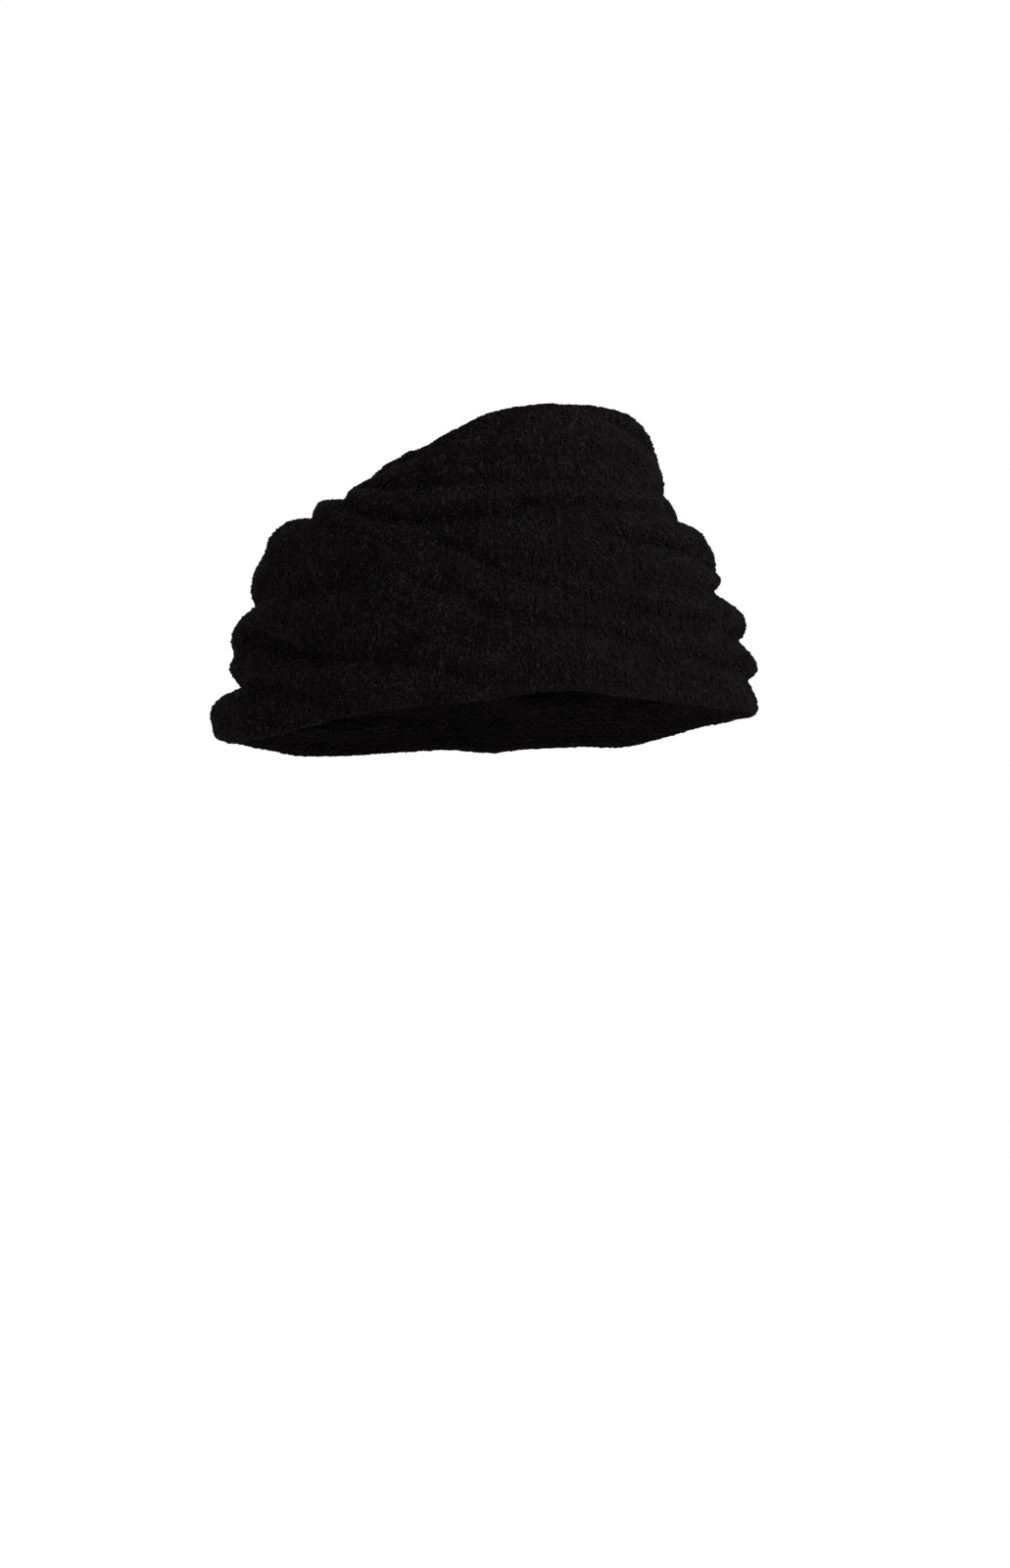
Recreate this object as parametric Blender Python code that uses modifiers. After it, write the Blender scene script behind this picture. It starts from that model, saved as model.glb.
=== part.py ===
"""Wool neck wrap: one tube of chunky stockinette, pulled on over the head and pushed down in soft rolls.

Metres, +Z up. The origin is on the neck's axis, at the height where the wrap bears on the shoulders.
-Y is the wearer's back and +X the wearer's right. An angle of 0 is the middle of the back, 90 the right
side, 180 the throat and -90 the left side. A level of 0 is the upper edge and a level of 1 the hem.
"""

import math
from typing import NamedTuple

import bmesh
import bpy
import numpy as np

MM = 0.001

# Driving dimensions
WALL_MM = 3.0               # chunky knit, measured across one ply of the tube
COLUMNS = 76                # divisions round the neck
ROWS = 38                   # divisions from the upper edge to the hem
DROOP = math.radians(24)    # each roll sags this far from square to the cloth
CREASE_MERGE = 3.0          # how sharply two creases that meet take the deeper of their depths
VALLEY_ROUNDING = 0.36      # share of a crease's half width that is rounded at its bottom
SWELL_MM = 1.1              # unevenness of the rolls along their length


class Ring(NamedTuple):
    """How far the rolls' crests stand out from the neck's axis, and how high, on the four sides (mm)."""

    level: float
    left_out: float
    left_up: float
    back_out: float
    back_up: float
    right_out: float
    right_up: float
    throat_out: float
    throat_up: float


RINGS = (
    Ring(0.00, 62, 106, 70, 144, 73, 134, 64, 92),
    Ring(0.08, 63, 104, 77, 135, 79, 125, 74, 86),
    Ring(0.20, 84, 100, 81, 120, 80, 112, 84, 75),
    Ring(0.35, 108, 85, 87, 100, 88, 96, 94, 60),
    Ring(0.43, 113, 74, 90, 89, 98, 88, 98, 51),
    Ring(0.52, 117, 61, 93, 77, 107, 74, 102, 41),
    Ring(0.66, 125, 42, 98, 57, 116, 55, 106, 25),
    Ring(0.80, 129, 22, 101, 37, 124, 36, 109, 9),
    Ring(0.91, 136, 4, 103, 22, 127, 18, 110, -2),
    Ring(1.00, 133, -10, 104, 9, 126, 3, 108, -13),
)


class EdgeLift(NamedTuple):
    """How much higher the two edges lie than the four sides alone would put them (mm)."""

    angle: float
    upper_edge: float
    hem: float


EDGE_LIFTS = (
    EdgeLift(-180, 0, -2.4),
    EdgeLift(-166, 0, 0.4),
    EdgeLift(-140, 0, -2.3),
    EdgeLift(-115, 0, 0.2),
    EdgeLift(-90, 0, 0),
    EdgeLift(-60, -1, -8),
    EdgeLift(-45, -2.5, -6.5),
    EdgeLift(-30, -4.7, -2.5),
    EdgeLift(0, 0, -0.5),
    EdgeLift(15, 0.5, 2),
    EdgeLift(30, 0, -1.5),
    EdgeLift(60, 0, -4),
    EdgeLift(90, 0, 0),
    EdgeLift(120, 0, 1.5),
    EdgeLift(135, 0, -0.8),
    EdgeLift(150, 0, -4.6),
    EdgeLift(164, 0, -2.4),
    EdgeLift(180, 0, -2.4),
)


class Crease(NamedTuple):
    """A trough between two rolls: its half width (mm) and its stations (angle, level, depth in mm)."""

    name: str
    half_width: float
    stations: tuple[tuple[float, float, float], ...]


# The first group shows from the back. The second group is on the side of the throat, and is of the same kind.
CREASES = (
    Crease("collar corner", 9, ((34, 0.03, 0), (48, 0.055, 4), (62, 0.08, 5.2), (78, 0.105, 3.4), (96, 0.12, 1.5),
                                (112, 0.13, 0))),
    Crease("collar waist", 8, ((-66, 0.17, 0), (-48, 0.203, 3), (-30, 0.232, 3.2), (5, 0.289, 3.6), (45, 0.295, 2.8),
                               (72, 0.28, 2), (96, 0.26, 2.2), (135, 0.28, 4), (180, 0.27, 0))),
    Crease("under collar", 9.5, ((-106, 0.07, 0), (-84, 0.12, 3.5), (-70, 0.167, 4.8), (-60, 0.215, 5.4),
                                 (-46, 0.289, 6.4), (-26, 0.382, 7), (0, 0.404, 6.4), (25, 0.382, 5.6),
                                 (45, 0.375, 4.8), (64, 0.385, 5), (88, 0.395, 7), (120, 0.42, 8),
                                 (165, 0.40, 7), (215, 0.33, 0))),
    Crease("left shelf", 11, ((-140, 0.16, 0), (-112, 0.17, 4), (-86, 0.215, 6), (-62, 0.31, 5), (-44, 0.365, 3),
                              (-30, 0.41, 0))),
    Crease("upper diagonal", 12, ((-36, 0.355, 0), (-16, 0.448, 2.8), (4, 0.607, 4.2), (22, 0.70, 5), (46, 0.75, 5.5),
                                  (70, 0.785, 6.5), (92, 0.805, 7.5), (125, 0.77, 6), (165, 0.74, 0))),
    Crease("lower diagonal", 11, ((-30, 0.52, 0), (-12, 0.63, 2.5), (8, 0.765, 3.5), (30, 0.83, 4), (55, 0.88, 4.5),
                                  (88, 0.922, 6), (120, 0.905, 5), (160, 0.90, 3), (185, 0.90, 0))),
    Crease("short diagonal", 9, ((-30, 0.39, 0), (-14, 0.455, 1.2), (0, 0.53, 2.2), (12, 0.592, 3.2),
                                 (24, 0.632, 3.2), (36, 0.64, 0))),
    Crease("right upper", 10, ((16, 0.46, 0), (32, 0.484, 4), (50, 0.509, 6), (72, 0.537, 5), (92, 0.555, 3),
                               (125, 0.53, 0))),
    Crease("right lower", 10, ((20, 0.635, 0), (34, 0.635, 3.5), (50, 0.648, 5), (68, 0.645, 6), (90, 0.62, 8),
                               (122, 0.61, 8), (160, 0.60, 7), (200, 0.56, 5), (232, 0.53, 0))),
    Crease("left waist", 12, ((-150, 0.61, 0), (-122, 0.592, 5), (-92, 0.582, 6), (-60, 0.548, 6), (-44, 0.565, 5.5),
                              (-36, 0.575, 4.5), (-28, 0.585, 0))),
    Crease("left deep", 10.5, ((-188, 0.78, 0), (-150, 0.78, 5), (-110, 0.75, 4), (-86, 0.745, 3), (-64, 0.713, 8.5),
                               (-44, 0.78, 7.5), (-22, 0.852, 4.5), (0, 0.945, 2.5), (14, 1.00, 0))),
    Crease("left hem", 11, ((-142, 0.87, 0), (-112, 0.855, 7), (-88, 0.837, 10.5), (-68, 0.836, 7.5), (-54, 0.86, 6),
                            (-44, 0.90, 4.5), (-36, 0.95, 2), (-30, 1.00, 0))),
    Crease("throat collar", 10, ((195, 0.13, 0), (225, 0.12, 5), (250, 0.09, 5), (270, 0.06, 0))),
    Crease("throat sling", 12, ((150, 0.46, 0), (176, 0.50, 5), (206, 0.45, 7), (236, 0.38, 8), (262, 0.36, 5),
                                (284, 0.42, 0))),
    Crease("throat lower", 12, ((140, 0.84, 0), (166, 0.83, 5), (196, 0.66, 4), (228, 0.70, 0))),
    Crease("throat hem", 10, ((188, 0.91, 0), (210, 0.90, 4), (238, 0.94, 4), (256, 1.00, 0))),
)

# Slow swells of the rolls: waves round the neck, waves down the wrap, and a share of SWELL_MM.
SWELLS = (
    (3, 1.3, 0.7, 0.50),
    (5, 2.1, 2.9, 0.30),
    (8, 3.2, 5.1, 0.20),
)

COLLECTION_NAME = "Wool neck wrap"
WOOL_COLOUR = (0.012, 0.011, 0.011, 1.0)
WOOL_ROUGHNESS = 0.95


def smooth_through(stations: np.ndarray, values: np.ndarray, at: np.ndarray) -> np.ndarray:
    """Curve through the values at the stations, level at both ends and held constant beyond them."""
    slopes = np.gradient(values, stations, axis=0)
    rises = np.diff(values, axis=0)
    turning = np.zeros_like(values, dtype=bool)
    turning[1:-1] = rises[1:] * rises[:-1] <= 0
    slopes = np.where(turning, 0.0, slopes)
    at = np.clip(at, stations[0], stations[-1])
    span = np.clip(np.searchsorted(stations, at, side="right") - 1, 0, len(stations) - 2)
    width = stations[span + 1] - stations[span]
    t = (at - stations[span]) / width
    if values.ndim > 1:
        width = width[..., None]
        t = t[..., None]
    start = (2 * t**3 - 3 * t**2 + 1) * values[span] + (t**3 - 2 * t**2 + t) * width * slopes[span]
    end = (3 * t**2 - 2 * t**3) * values[span + 1] + (t**3 - t**2) * width * slopes[span + 1]
    return start + end


def crest_surface(angle: np.ndarray, level: np.ndarray) -> np.ndarray:
    """Points (mm) on the smooth surface that the crests of the rolls touch."""
    rings = np.array(RINGS, float)
    sides = np.moveaxis(smooth_through(rings[:, 0], rings[:, 1:], level), -1, 0)
    left_out, left_up, back_out, back_up, right_out, right_up, throat_out, throat_up = sides
    sine, cosine = np.sin(np.radians(angle)), np.cos(np.radians(angle))
    across = np.where(sine >= 0, right_out, left_out) * sine
    along = -np.where(cosine >= 0, back_out, throat_out) * cosine
    up = (left_up + back_up + right_up + throat_up) / 4
    up += (back_up - throat_up) / 2 * cosine + (right_up - left_up) / 2 * sine
    up += (back_up + throat_up - right_up - left_up) / 4 * np.cos(np.radians(2 * angle))
    lifts = np.array(EDGE_LIFTS, float)
    lift = smooth_through(lifts[:, 0], lifts[:, 1:], (angle + 180) % 360 - 180)
    up += lift[..., 0] * (1 - level) + lift[..., 1] * level
    return np.stack([across, along, up], axis=-1)


def crease_depth(angle: np.ndarray, level: np.ndarray, meridian: np.ndarray) -> np.ndarray:
    """Depth (mm) of the creases below the crest surface, where meridian is the cloth's length there (mm)."""
    total = np.zeros_like(angle, dtype=float)
    for crease in CREASES:
        stations = np.array(crease.stations, float)
        middle = (stations[0, 0] + stations[-1, 0]) / 2
        turned = (angle - middle + 180) % 360 - 180 + middle
        along = smooth_through(stations[:, 0], stations[:, 1:], turned)
        inside = (turned > stations[0, 0]) & (turned < stations[-1, 0])
        off = (level - along[..., 0]) * meridian / crease.half_width
        off = np.sqrt(off**2 + VALLEY_ROUNDING**2) - VALLEY_ROUNDING
        share = np.clip(1 - off, 0, 1) ** 2
        total += np.where(inside, along[..., 1] * share, 0) ** CREASE_MERGE
    return total ** (1 / CREASE_MERGE)


def swell(angle: np.ndarray, level: np.ndarray) -> np.ndarray:
    """Slow unevenness (mm) of the rolls along their length."""
    total = np.zeros_like(angle, dtype=float)
    for round_neck, down, phase, share in SWELLS:
        total += share * np.sin(np.radians(angle) * round_neck + level * down * 2 * math.pi + phase)
    return SWELL_MM * total


def wrap_points(columns: int, rows: int) -> np.ndarray:
    """Outer points (mm) of the wrap, one row of the array for each column round the neck."""
    angle, level = np.meshgrid(
        np.linspace(-180, 180, columns + 1), np.linspace(0, 1, rows + 1), indexing="ij"
    )
    crest = crest_surface(angle, level)
    down = np.gradient(crest, axis=1) * rows
    meridian = np.linalg.norm(down, axis=-1)
    down /= meridian[..., None]
    step = 360 / columns
    onward = crest_surface(angle + step, level) - crest_surface(angle - step, level)
    outward = np.cross(down, onward)
    outward /= np.linalg.norm(outward, axis=-1, keepdims=True)
    sag = outward + math.tan(DROOP) * down
    depth = crease_depth(angle, level, meridian) - swell(angle, level)
    return crest - depth[..., None] * sag


def knit_material() -> bpy.types.Material:
    """Near-black wool."""
    material = bpy.data.materials.new("black wool knit")
    material.use_nodes = True
    shader = material.node_tree.nodes["Principled BSDF"]
    shader.inputs["Base Color"].default_value = WOOL_COLOUR
    shader.inputs["Roughness"].default_value = WOOL_ROUGHNESS
    material.diffuse_color = WOOL_COLOUR
    return material


def add_wrap(collection: bpy.types.Collection) -> bpy.types.Object:
    """The tube: a grid wound round the neck, laid on the wrap's points and thickened inwards."""
    points = wrap_points(COLUMNS, ROWS) * MM
    grid = bmesh.new()
    bmesh.ops.create_grid(grid, x_segments=COLUMNS, y_segments=ROWS, size=0.5)
    for vertex in grid.verts:
        column = round((vertex.co.x + 0.5) * COLUMNS)
        row = round((0.5 - vertex.co.y) * ROWS)
        vertex.co = points[column, row]
    bmesh.ops.remove_doubles(grid, verts=grid.verts, dist=MM * 0.001)
    mesh = bpy.data.meshes.new("knitted_tube")
    grid.to_mesh(mesh)
    grid.free()
    mesh.shade_smooth()
    mesh.materials.append(knit_material())
    wrap = bpy.data.objects.new("knitted_tube", mesh)
    collection.objects.link(wrap)
    wall = wrap.modifiers.new("wall", "SOLIDIFY")
    wall.thickness = WALL_MM * MM
    wall.offset = -1
    wall.use_even_offset = True
    wall.use_quality_normals = True
    return wrap


def main() -> None:
    """Clear the scene's objects and build the wrap in a collection of its own."""
    for leftover in list(bpy.data.objects):
        bpy.data.objects.remove(leftover, do_unlink=True)
    collection = bpy.data.collections.new(COLLECTION_NAME)
    bpy.context.scene.collection.children.link(collection)
    add_wrap(collection)


main()
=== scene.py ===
"""Looks of the worn wool neck wrap: yarn, stitches, edges, fuzz, floor and light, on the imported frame.

The wrap is one tube of chunky stockinette, pulled on and pushed down in soft rolls.
-Y is the wearer's back and +X the wearer's right. An angle of 0 is the middle of the back, 90 the right
side, 180 the throat and -90 the left side. A level of 0 is the upper edge and a level of 1 the hem.
Tables of the form are in millimetres, as they are in the model's own source; meshes are in metres.
"""

import logging
import math
from dataclasses import dataclass, field
from enum import Enum
from typing import ClassVar, NamedTuple

import bpy
import numpy as np
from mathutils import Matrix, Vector

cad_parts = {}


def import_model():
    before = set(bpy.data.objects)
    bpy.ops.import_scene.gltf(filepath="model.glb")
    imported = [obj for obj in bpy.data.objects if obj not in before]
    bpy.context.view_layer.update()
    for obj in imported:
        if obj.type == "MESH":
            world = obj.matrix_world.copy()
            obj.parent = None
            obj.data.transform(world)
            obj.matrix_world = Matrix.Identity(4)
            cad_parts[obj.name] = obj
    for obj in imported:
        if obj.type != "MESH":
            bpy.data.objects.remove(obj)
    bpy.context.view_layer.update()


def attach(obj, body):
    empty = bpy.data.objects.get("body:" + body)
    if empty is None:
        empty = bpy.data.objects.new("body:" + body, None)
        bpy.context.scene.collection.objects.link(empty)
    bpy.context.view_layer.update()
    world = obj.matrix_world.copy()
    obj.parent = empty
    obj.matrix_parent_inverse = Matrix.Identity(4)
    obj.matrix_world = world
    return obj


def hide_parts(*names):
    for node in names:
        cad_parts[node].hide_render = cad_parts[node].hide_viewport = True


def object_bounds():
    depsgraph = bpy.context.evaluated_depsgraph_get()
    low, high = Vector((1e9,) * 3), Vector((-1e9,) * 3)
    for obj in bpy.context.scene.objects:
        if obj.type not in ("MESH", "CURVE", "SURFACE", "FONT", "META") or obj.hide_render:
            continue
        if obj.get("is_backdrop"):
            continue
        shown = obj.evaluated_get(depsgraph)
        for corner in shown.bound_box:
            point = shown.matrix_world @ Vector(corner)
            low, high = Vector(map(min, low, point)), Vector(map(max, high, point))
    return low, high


LOG = logging.getLogger("neck_wrap")

MM = 0.001
BODY = "root"
NODE = "knitted_tube"
SEED = 20417
TINY = 1e-12
WHITE = (1.0, 1.0, 1.0, 1.0)
MIX_DARK, MIX_LIGHT, MIX_RESULT = 6, 7, 2  # the colour sockets of a Mix node

Colour = tuple[float, float, float]
Place = tuple[float, float, float]
Pair = tuple[float, float]
Array = np.ndarray
Piece = bpy.types.Object


# ---- The worn form ----


class Ring(NamedTuple):
    """How far the rolls' crests stand out from the neck's axis, and how high, on the four sides (mm)."""

    level: float
    left_out: float
    left_up: float
    back_out: float
    back_up: float
    right_out: float
    right_up: float
    throat_out: float
    throat_up: float


RINGS = (
    Ring(0.00, 62, 106, 70, 144, 73, 134, 64, 92),
    Ring(0.08, 63, 104, 77, 135, 79, 125, 74, 86),
    Ring(0.20, 84, 100, 81, 120, 80, 112, 84, 75),
    Ring(0.35, 108, 85, 87, 100, 88, 96, 94, 60),
    Ring(0.43, 113, 74, 90, 89, 98, 88, 98, 51),
    Ring(0.52, 117, 61, 93, 77, 107, 74, 102, 41),
    Ring(0.66, 125, 42, 98, 57, 116, 55, 106, 25),
    Ring(0.80, 129, 22, 101, 37, 124, 36, 109, 9),
    Ring(0.91, 136, 4, 103, 22, 127, 18, 110, -2),
    Ring(1.00, 133, -10, 104, 9, 126, 3, 108, -13),
)


class EdgeLift(NamedTuple):
    """How much higher the two edges lie than the four sides alone would put them (mm)."""

    angle: float
    upper_edge: float
    hem: float


EDGE_LIFTS = (
    EdgeLift(-180, 0, -2.4),
    EdgeLift(-166, 0, 0.4),
    EdgeLift(-140, 0, -2.3),
    EdgeLift(-115, 0, 0.2),
    EdgeLift(-90, 0, 0),
    EdgeLift(-60, -1, -8),
    EdgeLift(-45, -2.5, -6.5),
    EdgeLift(-30, -4.7, -2.5),
    EdgeLift(0, 0, -0.5),
    EdgeLift(15, 0.5, 2),
    EdgeLift(30, 0, -1.5),
    EdgeLift(60, 0, -4),
    EdgeLift(90, 0, 0),
    EdgeLift(120, 0, 1.5),
    EdgeLift(135, 0, -0.8),
    EdgeLift(150, 0, -4.6),
    EdgeLift(164, 0, -2.4),
    EdgeLift(180, 0, -2.4),
)


class Crease(NamedTuple):
    """A trough between two rolls: its half width (mm) and its stations (angle, level, depth in mm)."""

    name: str
    half_width: float
    stations: tuple[Place, ...]


# The creases down to "left hem" show from the back. The rest are on the throat's side, of the same kind.
CREASES = (
    Crease("collar corner", 9, (
        (34, 0.03, 0), (48, 0.055, 4), (62, 0.08, 5.2), (78, 0.105, 3.4), (96, 0.12, 1.5), (112, 0.13, 0),
    )),
    Crease("collar waist", 8, (
        (-66, 0.17, 0), (-48, 0.203, 3), (-30, 0.232, 3.2), (5, 0.289, 3.6), (45, 0.295, 2.8),
        (72, 0.28, 2), (96, 0.26, 2.2), (135, 0.28, 4), (180, 0.27, 0),
    )),
    Crease("under collar", 9.5, (
        (-106, 0.07, 0), (-84, 0.12, 4.2), (-70, 0.17, 5.8), (-60, 0.215, 4.4), (-46, 0.282, 4.4),
        (-26, 0.366, 7), (0, 0.396, 6.6), (25, 0.382, 5.6), (45, 0.375, 4.8), (64, 0.385, 5),
        (88, 0.395, 7), (120, 0.42, 8), (165, 0.40, 7), (215, 0.33, 0),
    )),
    Crease("left shelf", 11, (
        (-140, 0.16, 0), (-112, 0.17, 4), (-86, 0.215, 6), (-62, 0.31, 5), (-44, 0.365, 3),
        (-30, 0.41, 0),
    )),
    Crease("upper diagonal", 12, (
        (-36, 0.355, 0), (-16, 0.448, 2.8), (4, 0.607, 4.2), (22, 0.70, 5), (46, 0.75, 5.5),
        (70, 0.785, 6.5), (92, 0.805, 7.5), (125, 0.77, 6), (165, 0.74, 0),
    )),
    Crease("lower diagonal", 11, (
        (-30, 0.52, 0), (-12, 0.63, 2.5), (8, 0.765, 3.5), (30, 0.83, 4), (55, 0.88, 4.5), (88, 0.922, 6),
        (120, 0.905, 5), (160, 0.90, 3), (185, 0.90, 0),
    )),
    Crease("short diagonal", 9, (
        (-30, 0.39, 0), (-14, 0.455, 1.2), (0, 0.53, 2.2), (12, 0.592, 3.2), (24, 0.632, 3.2),
        (36, 0.64, 0),
    )),
    Crease("right upper", 10, (
        (16, 0.46, 0), (32, 0.484, 4), (50, 0.509, 6), (72, 0.537, 5), (92, 0.555, 3), (125, 0.53, 0),
    )),
    Crease("right lower", 10, (
        (20, 0.635, 0), (34, 0.635, 3.5), (50, 0.648, 5), (68, 0.645, 6), (90, 0.62, 8), (122, 0.61, 8),
        (160, 0.60, 7), (200, 0.56, 5), (232, 0.53, 0),
    )),
    Crease("left waist", 12, (
        (-150, 0.61, 0), (-122, 0.592, 5), (-92, 0.582, 6), (-60, 0.548, 6), (-44, 0.565, 5.5),
        (-36, 0.575, 4.5), (-28, 0.585, 0),
    )),
    Crease("left deep", 10.5, (
        (-188, 0.78, 0), (-150, 0.78, 5), (-110, 0.75, 4), (-86, 0.745, 3), (-64, 0.713, 8.5),
        (-44, 0.78, 7.5), (-22, 0.852, 4.5), (0, 0.945, 2.5), (14, 1.00, 0),
    )),
    Crease("left hem", 11, (
        (-142, 0.87, 0), (-112, 0.855, 7), (-88, 0.837, 10.5), (-68, 0.836, 7.5), (-54, 0.86, 6),
        (-44, 0.90, 4.5), (-36, 0.95, 2), (-30, 1.00, 0),
    )),
    Crease("throat collar", 10, ((195, 0.13, 0), (225, 0.12, 5), (250, 0.09, 5), (270, 0.06, 0))),
    Crease("throat sling", 12, (
        (150, 0.46, 0), (176, 0.50, 5), (206, 0.45, 7), (236, 0.38, 8), (262, 0.36, 5), (284, 0.42, 0),
    )),
    Crease("throat lower", 12, ((140, 0.84, 0), (166, 0.83, 5), (196, 0.66, 4), (228, 0.70, 0))),
    Crease("throat hem", 10, ((188, 0.91, 0), (210, 0.90, 4), (238, 0.94, 4), (256, 1.00, 0))),
)


class Swell(NamedTuple):
    """A slow wave in the rolls: waves round the neck, waves down the wrap, phase, and height (mm)."""

    round_neck: float
    down: float
    phase: float
    height: float

    def read(self, angle: Array, level: Array) -> Array:
        """Height (mm) of the wave at an angle (degrees) and a level."""
        turn = np.radians(angle) * self.round_neck + level * self.down * 2 * math.pi
        return self.height * np.sin(turn + self.phase)


SWELLS = (
    Swell(3, 1.3, 0.7, 0.55),
    Swell(5, 2.1, 2.9, 0.33),
    Swell(8, 3.2, 5.1, 0.22),
    Swell(17, 5.3, 1.9, 0.22),
    Swell(-23, 7.1, 4.4, 0.18),
)


def smooth_through(stations: Array, values: Array, at: Array) -> Array:
    """Curve through the values at the stations, held constant beyond them.

    Args:
        stations: Rising places of the known values.
        values: One row of values for each station.
        at: Places to read.

    Returns:
        A row of values for each of those places.
    """
    slopes = np.gradient(values, stations, axis=0)
    rises = np.diff(values, axis=0)
    turning = np.zeros_like(values, dtype=bool)
    turning[1:-1] = rises[1:] * rises[:-1] <= 0
    slopes = np.where(turning, 0.0, slopes)
    at = np.clip(at, stations[0], stations[-1])
    span = np.clip(np.searchsorted(stations, at, side="right") - 1, 0, len(stations) - 2)
    width = (stations[span + 1] - stations[span])[..., None]
    t = (at - stations[span])[..., None] / width
    start = (2 * t**3 - 3 * t**2 + 1) * values[span] + (t**3 - 2 * t**2 + t) * width * slopes[span]
    end = (3 * t**2 - 2 * t**3) * values[span + 1] + (t**3 - t**2) * width * slopes[span + 1]
    return start + end


def unit(vectors: Array) -> Array:
    """The vectors at a length of 1."""
    return vectors / np.maximum(np.linalg.norm(vectors, axis=-1, keepdims=True), TINY)


@dataclass
class WrapForm:
    """The outer face of the cloth as it is worn."""

    creases: tuple[Crease, ...] = CREASES
    droop: float = math.radians(24)
    crease_merge: float = 3.0
    valley_rounding: float = 0.2
    nudge: float = 1e-3

    def crest(self, angle: Array, level: Array) -> Array:
        """Points (mm) on the smooth surface that the crests of the rolls touch.

        Args:
            angle: Degrees round the neck.
            level: 0 at the upper edge and 1 at the hem.

        Returns:
            One point for each angle and level.
        """
        rings = np.array(RINGS, float)
        sides = np.moveaxis(smooth_through(rings[:, 0], rings[:, 1:], level), -1, 0)
        left_out, left_up, back_out, back_up, right_out, right_up, throat_out, throat_up = sides
        sine, cosine = np.sin(np.radians(angle)), np.cos(np.radians(angle))
        across = np.where(sine >= 0, right_out, left_out) * sine
        along = -np.where(cosine >= 0, back_out, throat_out) * cosine
        up = (left_up + back_up + right_up + throat_up) / 4
        up += (back_up - throat_up) / 2 * cosine + (right_up - left_up) / 2 * sine
        up += (back_up + throat_up - right_up - left_up) / 4 * np.cos(np.radians(2 * angle))
        lifts = np.array(EDGE_LIFTS, float)
        lift = smooth_through(lifts[:, 0], lifts[:, 1:], (angle + 180) % 360 - 180)
        up += lift[..., 0] * (1 - level) + lift[..., 1] * level
        return np.stack([across, along, up], axis=-1)

    def crease_depth(self, angle: Array, level: Array, meridian: Array) -> Array:
        """Depth (mm) of the creases below the crests.

        Args:
            angle: Degrees round the neck.
            level: 0 at the upper edge and 1 at the hem.
            meridian: Length (mm) of the crest surface from edge to edge there.

        Returns:
            One depth for each angle and level.
        """
        total = np.zeros_like(angle, dtype=float)
        for crease in self.creases:
            stations = np.array(crease.stations, float)
            middle = (stations[0, 0] + stations[-1, 0]) / 2
            turned = (angle - middle + 180) % 360 - 180 + middle
            along = smooth_through(stations[:, 0], stations[:, 1:], turned)
            inside = (turned > stations[0, 0]) & (turned < stations[-1, 0])
            off = (level - along[..., 0]) * meridian / crease.half_width
            off = np.sqrt(off**2 + self.valley_rounding**2) - self.valley_rounding
            share = np.clip(1 - off, 0, 1) ** 2
            total += np.where(inside, np.maximum(along[..., 1], 0) * share, 0) ** self.crease_merge
        return total ** (1 / self.crease_merge)

    def outer(self, angle: Array, level: Array) -> Array:
        """The cloth's outer face.

        Args:
            angle: Degrees round the neck, along the first axis of a grid.
            level: 0 at the upper edge and 1 at the hem, along its second axis.

        Returns:
            One point (mm) for each angle and level.
        """
        nudge = self.nudge
        crest = self.crest(angle, level)
        down = (self.crest(angle, level + nudge) - self.crest(angle, level - nudge)) / (2 * nudge)
        edge = (level < nudge) | (level > 1 - nudge)
        down = np.where(edge[..., None], 2 * down, down)
        meridian = np.linalg.norm(down, axis=-1)
        down = down / meridian[..., None]
        onward = self.crest(angle + 1, level) - self.crest(angle - 1, level)
        outward = unit(np.cross(down, onward))
        sag = outward + math.tan(self.droop) * down
        swell = sum(wave.read(angle, level) for wave in SWELLS)
        depth = self.crease_depth(angle, level, meridian) - swell
        return crest - depth[..., None] * sag


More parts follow.
